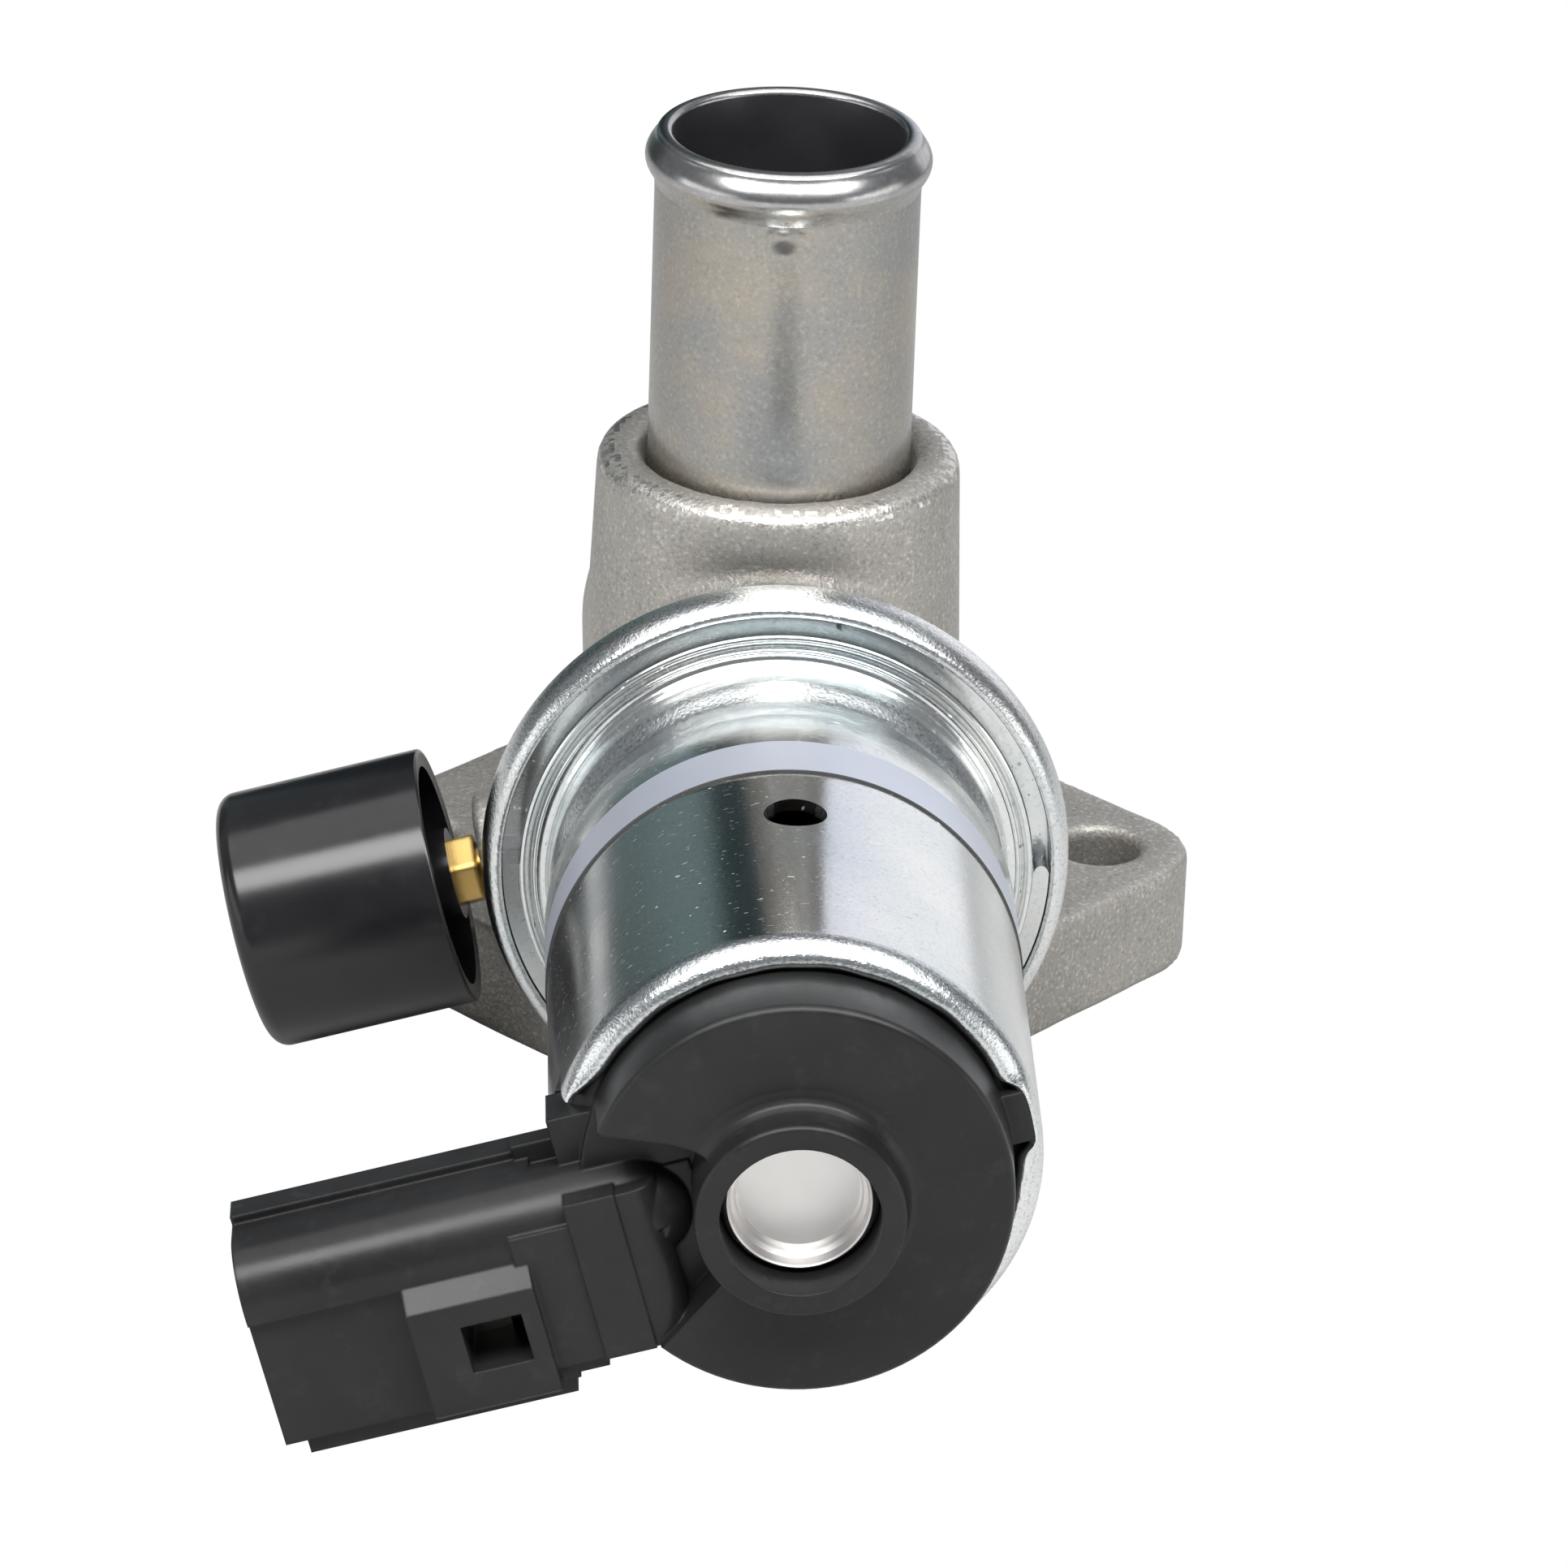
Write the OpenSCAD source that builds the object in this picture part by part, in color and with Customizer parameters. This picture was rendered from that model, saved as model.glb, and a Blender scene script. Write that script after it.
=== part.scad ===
// Idle air control valve: a cast housing with a bolted flange, a hose tube on top,
// a solenoid lying forward of it, and an electrical connector at the solenoid's end.
// Origin: middle of the bolt line on the mounting face. +Z runs along the hose tube,
// -Y runs along the solenoid. Stations along the solenoid are distances forward (towards -Y).

/* [Mounting flange] */
// Distance between the two bolt holes
bolt_spacing = 59.6; // [54:0.2:70]
// Diameter of each bolt hole
bolt_hole_d = 7.4; // [5:0.1:8.6]
// Radius of the rounded lug end about each bolt hole
lug_r = 7.8; // [6.6:0.1:9]
// Thickness of the flange
flange_t = 10.2; // [8:0.1:12]
// Size of the flange across the bolt line
flange_depth = 50; // [44:0.5:54]
// Angle between the slanted edges and the bolt line
edge_angle = 46.9; // [44:0.1:50]
// Radius of the four obtuse corners
corner_r = 6; // [4:0.5:8]

/* [Housing] */
// Height of the solenoid axis above the mounting face
axis_z = 24.7; // [24.5:0.1:28]
// Outer radius of the cast valve chamber
chamber_r = 15.6; // [14.4:0.1:16]
// Radius of the chamber's front bore
chamber_bore_r = 10; // [9.8:0.1:11]
// Radius of the chamber's rear bore, behind the seat
outlet_chamber_r = 8.5; // [7.8:0.1:8.8]
// Distance from the bolt line forward to the housing's front face
housing_face = 32.3; // [32:0.1:36]
// Distance from the bolt line back to the housing's rear face
housing_back = 19; // [18:0.5:22]
// Distance from the bolt line forward to the hose tube's axis
tube_forward = 14; // [13.6:0.1:15]
// Height of the hose tube's boss above the mounting face
boss_top = 53; // [50:0.5:58]
// Radius of the boss at its top
boss_r = 15.2; // [14:0.1:15.6]
// Draft of the boss's wall in degrees
boss_draft = 2.1; // [0.5:0.1:3]
// Radius of the outlet port in the mounting face
outlet_r = 7; // [6:0.1:7.4]
// Distance from the bolt line back to the outlet port's axis
outlet_back = 6; // [5.5:0.1:6.5]

/* [Hose tube] */
// Outer radius of the tube
tube_r = 11; // [10.8:0.1:11.6]
// Wall of the tube
tube_wall = 1.4; // [1:0.1:1.6]
// Height of the tube's mouth above the mounting face
tube_top = 81.1; // [74:0.1:90]
// How deep the tube is pressed into the boss
tube_seat = 13; // [9:0.5:14]
// How far the rolled bead stands out of the tube
bead_out = 0.85; // [0.4:0.05:1.2]

/* [Solenoid] */
// How far the clamp ring stands out past the housing's round face
rim_out = 1.5; // [1.4:0.1:1.6]
// Station of the clamp ring's front edge
rim_front = 37.1; // [37:0.1:37.3]
// How far the collar stands out past the can's wall
collar_out = 0.15; // [0.1:0.05:0.2]
// Station where the can begins
can_start = 58.9; // [54:0.1:61]
// Station of the can's crimped end
can_end = 90.4; // [90:0.1:91]
// Outer radius of the can
can_r = 19; // [18.9:0.05:19.3]
// Wall of the can
can_wall = 1; // [0.8:0.05:1.1]
// Radius of the vent hole in the can
vent_r = 2.5; // [1.5:0.1:3]
// Station of the vent hole
vent_at = 66.6; // [64.5:0.1:76]
// Travel of the armature, poppet and shaft
stroke = 4; // [2:0.1:4.2]
// Radius of the armature
armature_r = 6.45; // [6:0.05:6.5]
// Length of the armature
armature_len = 22; // [18:0.5:23]

/* [Valve] */
// Radius of the shaft
shaft_r = 1.5; // [1.2:0.05:1.8]
// Radius of the hole through the seat
seat_hole_r = 6.5; // [5.5:0.1:6.8]
// Radius of the poppet
poppet_r = 7.9; // [7.4:0.1:9]

/* [End cap and connector] */
// How far the cap's flat face stands out past the can's crimped end
cap_rise = 5.5; // [4.8:0.1:6.4]
// How far the edge of the cap's flat face is inside the can's outer radius
cap_inset = 2.3; // [2.2:0.1:2.8]
// Outer radius of the raised ring in the middle of the face
hub_r = 8.1; // [7.6:0.1:8.6]
// How far the raised ring stands out past the flat face
hub_rise = 3.4; // [2.4:0.1:5]
// Radius of the bore inside the raised ring
hub_bore_r = 6.2; // [5.8:0.1:6.4]
// Angle of the connector below the horizontal
tilt = 15.7; // [10:0.1:18]
// Distance from the solenoid axis out to the connector's mouth
mouth_reach = 43.5; // [42:0.1:50]
// How far the connector's flat front lies behind the cap's flat face
socket_inset = 1.9; // [1.7:0.1:2.3]
// Depth of the connector along the solenoid
socket_depth = 9; // [8.4:0.1:9.6]
// Radius of the connector's rounded upper front
ridge_r = 4.6; // [4.2:0.1:4.8]

/* [Side port] */
// Distance from the bolt line forward to the side port's axis
port_forward = 25; // [24.8:0.1:25.6]
// Length from the housing's middle out to the port boss's end
port_reach = 24.6; // [24.2:0.1:26]
// Radius of the port boss
port_boss_r = 6.5; // [5.5:0.1:6.6]
// Outer radius of the port cap
cup_r = 10.9; // [9.5:0.1:11.1]
// Length of the port cap
cup_len = 17.6; // [14:0.1:22]
// Wall of the port cap
cup_wall = 1.5; // [1.1:0.1:2]

/* [Hidden] */
$fn = 96;
fit_gap = 0.05;
running_gap = 0.05;
touch = 0.02;
cut = 1;

// Flange outline
lug_x = bolt_spacing / 2;
edge_offset = sin(edge_angle) * lug_x + lug_r;
corner_y = flange_depth / 2 - corner_r;
corner_x = (edge_offset - corner_r - cos(edge_angle) * corner_y) / sin(edge_angle);

// Tube, boss and their bores
tube_bore_r = tube_r - tube_wall;
tube_foot = boss_top - tube_seat;
boss_foot_r = boss_r + (boss_top - flange_t) * tan(boss_draft);
inlet_ledge = 0.4;
boss_edge_r = 1.3;
boss_gap = 0.55;
boss_gap_depth = 1.6;
bead_z = tube_top - 2.3;
bead_half = 1.7;
lip_r = 1.1;

// Chamber stations
seat_back = 2;
seat_t = 3;
seat_front = seat_back + seat_t;
seal_face = 1;
poppet_t = 0.8;
poppet_hub = 1.8;
clip_t = 0.7;
clip_ring = 1.5;
clip_slot = 1.8;
rear_bore_end = -14;
rear_plug_r = 9;
rear_plug_t = 3.5;
bushing_r = 4;
rear_bushing_front = -6;
rear_bushing_r = 3.2;
rear_hub_r = 4.2;
seal_groove_depth = 1.6;
face_ring_t = 3.6;
ring_back_in = 3.1;
neck_flare = 1.6;
neck_len = 6.2;
neck_ease = 2.2;

// Solenoid stations
sheet_t = 1.5;
cap_face = can_end + cap_rise;
hub_front = cap_face + hub_rise;
socket_front = cap_face - socket_inset;
can_bore_r = can_r - can_wall;
collar_r = can_r + collar_out;
dish_bore_r = can_bore_r - 1;
hip_r = collar_r - 0.4;
waist_r = collar_r - 1.25;
collar_len = 10.7;
land_w = 0.6;
dish_bead_w = 0.9;
groove_w = 1.4;
land_r = hip_r + 0.95;
dish_bead_r = land_r + land_w;
groove_r = dish_bead_r + dish_bead_w;
dish_r = groove_r + groove_w;
face_ring_r = dish_r + 0.2;
rim_r = face_ring_r + rim_out;
seal_groove_r = dish_bore_r + 1;
spigot_len = 3;
pole_t = 4.7;
pole_front = housing_face + pole_t;
sleeve_wall = 0.7;
sleeve_bore_r = armature_r + running_gap;
sleeve_r = sleeve_bore_r + sleeve_wall;
armature_clear = 4;
armature_back = pole_front + armature_clear;
shaft_grip = 15;
armature_front = armature_back + armature_len;
air_gap = stroke + 0.3;
core_back = armature_front + air_gap;
core_bore_r = 3;
core_front = can_end + 1.1;
crimp_start = can_end - 2.2;
crimp_r = can_r - 1.7;
cap_r = can_r - cap_inset;
seal_w = 5.95;
seal_inner_r = can_bore_r - seal_w;
washer_t = 2.2;
seal_t = 0.8;
slot_len = 4.6;
slot_back = can_end - slot_len;
cap_back = slot_back - 0.4;
washer_front = cap_back - seal_t;
washer_back = washer_front - washer_t;
bobbin_wall = 1.15;
bobbin_cheek = 1.2;
bobbin_r = dish_bore_r - 0.6;
coil_r = bobbin_r - 0.8;

// Core plug, spring and screw
plug_depth = 2.1;
spring_wire_r = 0.35;
spring_r = 2.3;
spring_turns = 9;
spring_pocket = 3;
spring_back = armature_front - spring_pocket;
screw_in = 12.7;
screw_back = core_back + screw_in;
screw_len = 6;

// Connector sections, measured up from the connector's centre line
socket_back = socket_front - socket_depth;
socket_low = -11.4;
socket_top = 5.6;
ridge_up = 0.3;
ridge_station = socket_front + 0.7 - ridge_r;
foot_low = -12.9;
foot_reach = mouth_reach - 1.6;
ridge_foot = -0.4;
shoulder_low = -10.9;
socket_floor = 4;
socket_root = 20;
rail_front = socket_back + 2.6;
neck_low = -9.8;
neck_top = 3.6;
neck_step = 1.9;
neck_front = socket_front + 0.9;
neck_bend_r = 2.2;
neck_near = 12.6;
strip_front = socket_front + 1.2;
strip_near = 13.6;
strip_far = 17.6;
strip_top = 3.8;
pocket = [[2, 3.2], [8.2, 7.2], [16.4, 10.6], [22, 10.6], [22, -16], [13.6, -9.9], [3, -2.2]];
pocket_floor = socket_front - 2.4;
cavity_depth = 13.5;
socket_wall = 1.2;
blade_w = 2.8;
blade_t = 0.8;
blade_setback = 6.4;
blade_tip = mouth_reach - blade_setback;
blade_depth = 19;
blade_root = mouth_reach - blade_depth;
blade_up = [-6.4, 0];
latch_low = -11.2;
latch_top = 0.1;
latch_near = 21.4;
latch_far = 31.4;
latch_rise = 2.3;
window_low = -7.8;
window_top = -3.7;
window_near = 22.8;
window_far = 27.6;
slot_low = -11;
slot_top = 10.2;
tab_half = 2.2;
tab_r = can_r - 0.65;

// Side port
port_up = 1;
cup_stand = 3.4;
cup_mouth = port_reach + cup_stand;
cup_end = cup_mouth + cup_len;
cup_edge_r = 1.5;
hub_stub_r = 3.9;
fitting_r = 2.6;
stem_r = 2.2;
stem_in_cap = 6.5;
stem_end = cup_mouth + stem_in_cap;
fitting_seat = 5.5;
hex_r = 3.1;
hex_t = 3.4;
hex_back = port_reach + 0.6;
hex_front = hex_back + hex_t;
hub_back = hex_front + 0.3;
port_bore_r = 1.2;

// Points of an arc about [cx, cy] from angle a0 to a1 in n steps
function arc(cx, cy, r, a0, a1, n) =
    [for (i = [0:n]) [cx + r * cos(a0 + (a1 - a0) * i / n), cy + r * sin(a0 + (a1 - a0) * i / n)]];

// Puts a shape on the solenoid's axis: its z runs forward, its y runs up
module forward() {
    translate([0, 0, axis_z]) rotate([90, 0, 0]) children();
}

// The same, turned so that -x runs out along the connector and y across it
module outward() {
    forward() rotate([0, 0, tilt]) children();
}

// A cylinder on the solenoid's axis between two stations
module spool(r, from, to) {
    translate([0, 0, from]) cylinder(r = r, h = to - from);
}

// A ring on the solenoid's axis between two stations
module tube_ring(outer, inner, from, to) {
    difference() {
        spool(outer, from, to);
        spool(inner, from - cut, to + cut);
    }
}

// A block in the connector's frame: reach out, height across, station forward
module block(near, far, low, top, back, front) {
    translate([-far, low, back]) cube([far - near, top - low, front - back]);
}

// Puts a shape on the side port's axis: its z runs outward from the housing
module port_axis() {
    translate([0, -port_forward, axis_z + port_up])
        rotate([0, -90 - tilt, 0])
            children();
}

module flange_outline() {
    edge = [
        [lug_x + lug_r * sin(edge_angle), lug_r * cos(edge_angle)],
        [corner_x + corner_r * sin(edge_angle), corner_y + corner_r * cos(edge_angle)],
        [corner_x, corner_y + corner_r]
    ];
    polygon(concat(
        [for (i = [0:2]) edge[i]],
        [for (i = [2:-1:0]) [-edge[i][0], edge[i][1]]],
        [for (i = [0:2]) [-edge[i][0], -edge[i][1]]],
        [for (i = [2:-1:0]) [edge[i][0], -edge[i][1]]]
    ));
    for (side = [-1, 1]) {
        translate([side * lug_x, 0]) circle(r = lug_r);
        for (end = [-1, 1])
            translate([side * corner_x, end * corner_y]) circle(r = corner_r);
    }
}

module tube_boss() {
    edge_z = boss_top - boss_edge_r;
    translate([0, -tube_forward, 0])
        rotate_extrude()
            polygon(concat(
                [[0, flange_t / 2], [boss_foot_r, flange_t / 2], [boss_foot_r, flange_t]],
                arc(boss_r - boss_edge_r, edge_z, boss_edge_r, 0, 90, 6),
                [[0, boss_top]]
            ));
}

module chamber() {
    shoulder = housing_face - face_ring_t;
    round_r = 3;
    forward()
        rotate_extrude()
            polygon(concat(
                [[0, housing_face], [face_ring_r, housing_face], [face_ring_r - 1.8, shoulder]],
                [[face_ring_r - ring_back_in, shoulder - 1.5]],
                [[chamber_r + neck_flare, shoulder - neck_len], [chamber_r, shoulder - neck_len - neck_ease]],
                arc(chamber_r - round_r, round_r - housing_back, round_r, 0, -90, 6),
                [[0, -housing_back]]
            ));
}

module valve_body() {
    color([0.63, 0.61, 0.58])
    difference() {
        union() {
            linear_extrude(flange_t) flange_outline();
            tube_boss();
            chamber();
            port_axis() cylinder(r = port_boss_r, h = port_reach);
        }
        for (side = [-1, 1])
            translate([side * lug_x, 0, -cut]) cylinder(d = bolt_hole_d, h = flange_t + 2 * cut);
        // Inlet bore, the tube's seat and the gap about the tube at the boss's top
        translate([0, -tube_forward, axis_z])
            cylinder(r = tube_bore_r - inlet_ledge, h = boss_top - axis_z + cut);
        translate([0, -tube_forward, tube_foot]) cylinder(r = tube_r, h = tube_seat + cut);
        translate([0, -tube_forward, boss_top - boss_gap_depth])
            cylinder(r = tube_r + boss_gap, h = boss_gap_depth + cut);
        // Outlet port
        translate([0, outlet_back, -cut]) cylinder(r = outlet_r, h = axis_z + cut);
        forward() {
            spool(chamber_bore_r, seat_back, housing_face + cut);
            spool(outlet_chamber_r, rear_bore_end, seat_back + cut);
            spool(rear_plug_r, -housing_back - cut, rear_bore_end);
            tube_ring(
                seal_groove_r + seal_groove_depth / 2, seal_groove_r - seal_groove_depth / 2,
                housing_face - seal_groove_depth, housing_face + cut
            );
        }
        port_axis() {
            cylinder(r = port_bore_r, h = port_reach + cut);
            translate([0, 0, port_reach - fitting_seat]) cylinder(r = fitting_r, h = fitting_seat + cut);
        }
    }
}

module hose_tube() {
    color([0.72, 0.69, 0.64])
    translate([0, -tube_forward, 0])
        rotate_extrude()
            polygon(concat(
                [[tube_bore_r, tube_foot], [tube_r, tube_foot], [tube_r, bead_z - bead_half]],
                [for (i = [1:9]) [
                    tube_r + bead_out * sin(i * 18),
                    bead_z + bead_half * (i / 5 - 1)
                ]],
                arc(tube_r - lip_r + 0.15, tube_top - lip_r + 0.5, 0.6, 30, 90, 3),
                arc(tube_bore_r + 0.5, tube_top - 0.4, 0.5, 90, 180, 4)
            ));
}

module clamp_ring() {
    inner = dish_r + fit_gap;
    nose_r = inner + 0.3;
    roll_len = 3.1;
    roll_back = rim_front - roll_len;
    color([0.86, 0.86, 0.83])
    forward()
        rotate_extrude()
            polygon(concat(
                [[inner, housing_face], [face_ring_r, housing_face], [rim_r - 0.8, roll_back - 0.6]],
                [for (i = [0:8]) [
                    nose_r + (rim_r - nose_r) * cos(i * 11.25),
                    roll_back + roll_len * sin(i * 11.25)
                ]],
                [[inner, rim_front - 0.3]]
            ));
}

// A half ring that fills the lower half of the groove and ends level with the axis
module retaining_ring() {
    hook_r = 0.55;
    ring_back = housing_face + sheet_t + touch;
    ring_front = rim_front - 0.5;
    color([0.9, 0.9, 0.88])
    forward()
        union() {
            difference() {
                tube_ring(dish_r - fit_gap, groove_r + fit_gap, ring_back, ring_front);
                translate([-rim_r, 0, ring_back - cut])
                    cube([2 * rim_r, rim_r, ring_front - ring_back + 2 * cut]);
            }
            translate([(dish_r + groove_r) / 2, 0, ring_back])
                cylinder(r = hook_r, h = ring_front - ring_back);
        }
}

// Pressed flange, bell and collar in one piece
module mounting_flange() {
    back = housing_face;
    floor_z = back + sheet_t;
    bead_front = rim_front + 0.2;
    bead_round = 0.4;
    hip_run = 3;
    hip_front = bead_front + hip_run;
    waist_len = 2.9;
    collar_back = can_start - collar_len;
    color([0.8, 0.82, 0.82])
    forward()
        rotate_extrude()
            polygon(concat(
                [[dish_bore_r, back], [dish_r, back], [dish_r, floor_z], [groove_r, floor_z]],
                arc(groove_r - bead_round, bead_front - bead_round, bead_round, 0, 180, 6),
                [[dish_bead_r, bead_front - 0.6], [land_r + 0.35, bead_front - 0.6]],
                [[land_r + 0.3, bead_front], [land_r, bead_front + 0.2], [hip_r + 0.1, bead_front + 1.2]],
                [for (i = [0:8]) [
                    waist_r + (hip_r - waist_r) * (1 + cos(i * 22.5)) / 2,
                    hip_front + waist_len * i / 8
                ]],
                [[waist_r + 0.3, collar_back - 1.1], [collar_r - 0.15, collar_back - 0.3]],
                [[collar_r, collar_back], [collar_r, can_start]],
                [[can_bore_r, can_start], [can_bore_r, can_start + spigot_len]],
                [[dish_bore_r, can_start + spigot_len]]
            ));
}

module solenoid_can() {
    lip = 0.62;
    bend = can_end - crimp_start;
    color([0.62, 0.67, 0.68])
    difference() {
        forward()
            difference() {
                rotate_extrude()
                    polygon(concat(
                        [[can_bore_r, can_start], [can_r - 0.15, can_start], [can_r, can_start + 0.15]],
                        [for (i = [0:6]) [
                            crimp_r + (can_r - crimp_r) * cos(i * 15),
                            crimp_start + bend * sin(i * 15)
                        ]],
                        [[crimp_r - lip, can_end - 0.35]],
                        [for (i = [5:-1:0]) [
                            crimp_r - lip + (can_bore_r - crimp_r + lip) * cos(i * 15),
                            crimp_start + 0.25 + (bend - 0.7) * sin(i * 15)
                        ]]
                    ));
                rotate([0, 0, tilt]) {
                    block(8, can_r + cut, slot_low, slot_top, slot_back, can_end + cut);
                    intersection() {
                        block(-can_r - cut, -hub_r, -tab_half, tab_half, crimp_start - 0.6, can_end + cut);
                        spool(tab_r, cap_back, can_end + cut);
                    }
                }
            }
        translate([0, -vent_at, axis_z + can_r / 2]) cylinder(r = vent_r, h = can_r);
    }
}

// Round part of the cap: the plug inside the can, the shoulder and the flat face
module cap_disc() {
    plug_r = can_bore_r - fit_gap;
    edge = 0.6;
    rotate_extrude()
        polygon(concat(
            [[sleeve_r + fit_gap, cap_back], [plug_r, cap_back], [plug_r, crimp_start + 0.2]],
            [[cap_r + 0.55, crimp_start + 0.9], [cap_r - 0.1, can_end - 0.9]],
            [[cap_r - 0.1, can_end + 0.4]],
            arc(cap_r - 0.25 - edge, cap_face - edge, edge, 0, 90, 4),
            [[sleeve_r + fit_gap, cap_face]]
        ));
}

// Raised ring about the bore, with a filleted foot
module cap_hub() {
    foot = 1.4;
    edge = 0.4;
    root_depth = 4.5;
    root = cap_face - root_depth;
    rotate_extrude()
        polygon(concat(
            [[hub_bore_r, root], [hub_r + foot, root], [hub_r + foot, cap_face]],
            arc(hub_r + foot, cap_face + foot, foot, 270, 180, 4),
            arc(hub_r - edge, hub_front - edge, edge, 0, 90, 3),
            [[hub_bore_r, hub_front]]
        ));
}

// Cut in the face where the connector's neck comes out of it
module neck_pocket() {
    translate([0, 0, pocket_floor])
        linear_extrude(cap_face)
            polygon([for (p = pocket) [-p[0], p[1]]]);
}

module socket_body() {
    // Flat lower front and the thinner upper back
    block(socket_root, mouth_reach, socket_low, ridge_up, socket_back, socket_front);
    block(socket_root, mouth_reach, ridge_up, ridge_up + ridge_r, socket_back, ridge_station);
    // Guide rail along the upper back edge
    block(socket_root + 1, mouth_reach, ridge_up, socket_top, socket_back, rail_front);
    // Foot along the lower edge
    block(socket_root + 0.6, foot_reach, foot_low, socket_low + 1, socket_back + 1, socket_front - 0.7);
    // Rounded upper front, cut off level along its lower edge
    difference() {
        union() {
            translate([-mouth_reach, ridge_up, ridge_station])
                rotate([0, 90, 0])
                    cylinder(r = ridge_r, h = mouth_reach - neck_near);
            translate([-neck_near, ridge_up, ridge_station]) sphere(r = ridge_r);
        }
        block(-cut, mouth_reach + cut, ridge_foot - ridge_r, ridge_foot, socket_front, socket_front + ridge_r);
    }
}

module socket_neck() {
    root = slot_back + 0.2;
    // Floor of the groove beside the raised ring
    block(hub_r - 0.4, neck_near, neck_low, neck_top, root, pocket_floor + 0.2);
    // Flat face between that groove and the latch frame, with a rounded inner edge
    block(neck_near, strip_far, neck_low, neck_top, root, neck_front);
    block(strip_near, latch_near + 1, neck_low, neck_step, root, neck_front);
    translate([-neck_near, neck_low, neck_front - neck_bend_r])
        rotate([-90, 0, 0])
            cylinder(r = neck_bend_r, h = neck_top - neck_low);
    block(strip_near, strip_far, neck_low, strip_top, root, strip_front);
    // Shoulder behind the latch frame, the high back and the block in the can's slot
    block(strip_far, latch_near + 1, shoulder_low, neck_step, root, socket_front + 0.1);
    block(neck_near, socket_root + 1.1, 0, socket_top + 0.5, root, rail_front + 0.3);
    block(neck_near, socket_root + 1.1, 0, neck_top, root, ridge_station);
    block(strip_near - 2, can_r - 1.4, 0, slot_top - 1.4, root, can_end);
}

// Raised frame that the mating plug's latch snaps into
module latch_frame() {
    chamfer = 1.9;
    top_front = socket_front + latch_rise;
    translate([-latch_far, 0, 0])
        rotate([90, 0, 90])
            linear_extrude(latch_far - latch_near)
                polygon([
                    [latch_low, socket_front - 1], [latch_low, top_front - 0.4],
                    [latch_low + 0.4, top_front], [latch_top - chamfer, top_front],
                    [latch_top, top_front - chamfer], [latch_top, socket_front - 1]
                ]);
}

module socket_cavity() {
    block(
        mouth_reach - cavity_depth, mouth_reach + cut,
        socket_low + socket_wall, ridge_up + 3,
        socket_back + socket_wall, socket_front - socket_wall - 0.1
    );
}

module blade(up) {
    middle = (socket_back + socket_front - 0.1) / 2;
    translate([-blade_tip, up - blade_w / 2, middle - blade_t / 2])
        cube([blade_tip - blade_root, blade_w, blade_t]);
}

module end_cap() {
    color([0.16, 0.16, 0.16])
    outward()
        difference() {
            union() {
                difference() {
                    union() {
                        cap_disc();
                        cap_hub();
                    }
                    difference() {
                        neck_pocket();
                        spool(hub_r, cap_back, hub_front);
                    }
                }
                difference() {
                    union() {
                        socket_body();
                        socket_neck();
                        latch_frame();
                        intersection() {
                            block(
                                -can_r, -cap_r + 2, -tab_half + 0.1, tab_half - 0.1,
                                crimp_start - 0.5, can_end + 0.2
                            );
                            spool(tab_r - fit_gap, cap_back, cap_face);
                        }
                    }
                    spool(hub_r - 0.5, cap_back - cut, hub_front);
                }
            }
            spool(hub_bore_r, core_front, hub_front + cut);
            spool(sleeve_r + fit_gap, cap_back - cut, core_front + cut);
            socket_cavity();
            block(window_near, window_far, window_low, window_top, socket_back + socket_floor, cap_face + latch_rise);
            for (up = blade_up) blade(up);
        }
}

module terminal_upper() {
    color([0.8, 0.78, 0.72]) outward() blade(blade_up[1]);
}

module terminal_lower() {
    color([0.8, 0.78, 0.72]) outward() blade(blade_up[0]);
}

// Bright pressed cup that closes the bore
module core_plug() {
    rim = cap_face + 0.1;
    dish = rim - plug_depth;
    plug_r = hub_bore_r - fit_gap;
    color([0.85, 0.84, 0.83])
    forward()
        rotate_extrude()
            polygon([
                [0, core_front + 0.3], [plug_r - 0.3, core_front + 0.3], [plug_r, core_front + 0.6],
                [plug_r, rim - 1.1], [plug_r - 0.35, rim - 0.3], [plug_r - 0.6, rim],
                [plug_r - 0.75, rim - 0.1], [plug_r - 0.9, dish + 1.1], [plug_r - 1.2, dish + 0.7],
                [plug_r - 1.3, dish + 0.25], [plug_r - 1.5, dish], [0, dish]
            ]);
}

module adjusting_screw() {
    socket_af_r = 1.5;
    color([0.7, 0.62, 0.4])
    forward()
        difference() {
            spool(core_bore_r - fit_gap, screw_back, screw_back + screw_len);
            translate([0, 0, screw_back + screw_len / 2]) cylinder(r = socket_af_r, h = screw_len, $fn = 6);
        }
}

module fixed_core() {
    color([0.6, 0.6, 0.6])
    forward() tube_ring(sleeve_bore_r, core_bore_r, core_back, core_front);
}

module guide_sleeve() {
    color([0.75, 0.72, 0.66])
    forward() tube_ring(sleeve_r, sleeve_bore_r, pole_front + touch, core_front - touch);
}

module coil_bobbin() {
    inner = sleeve_r + fit_gap;
    core = inner + bobbin_wall;
    back = pole_front + touch;
    front = washer_back - touch;
    color([0.2, 0.2, 0.22])
    forward()
        rotate_extrude()
            polygon([
                [inner, back], [bobbin_r, back], [bobbin_r, back + bobbin_cheek],
                [core, back + bobbin_cheek], [core, front - bobbin_cheek],
                [bobbin_r, front - bobbin_cheek], [bobbin_r, front], [inner, front]
            ]);
}

module coil_winding() {
    core = sleeve_r + fit_gap + bobbin_wall;
    color([0.66, 0.36, 0.16])
    forward()
        tube_ring(
            coil_r, core + touch,
            pole_front + bobbin_cheek + 2 * touch, washer_back - bobbin_cheek - 2 * touch
        );
}

module yoke_washer() {
    color([0.6, 0.6, 0.6])
    forward() tube_ring(can_bore_r - fit_gap, sleeve_r + fit_gap, washer_back, washer_front);
}

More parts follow.
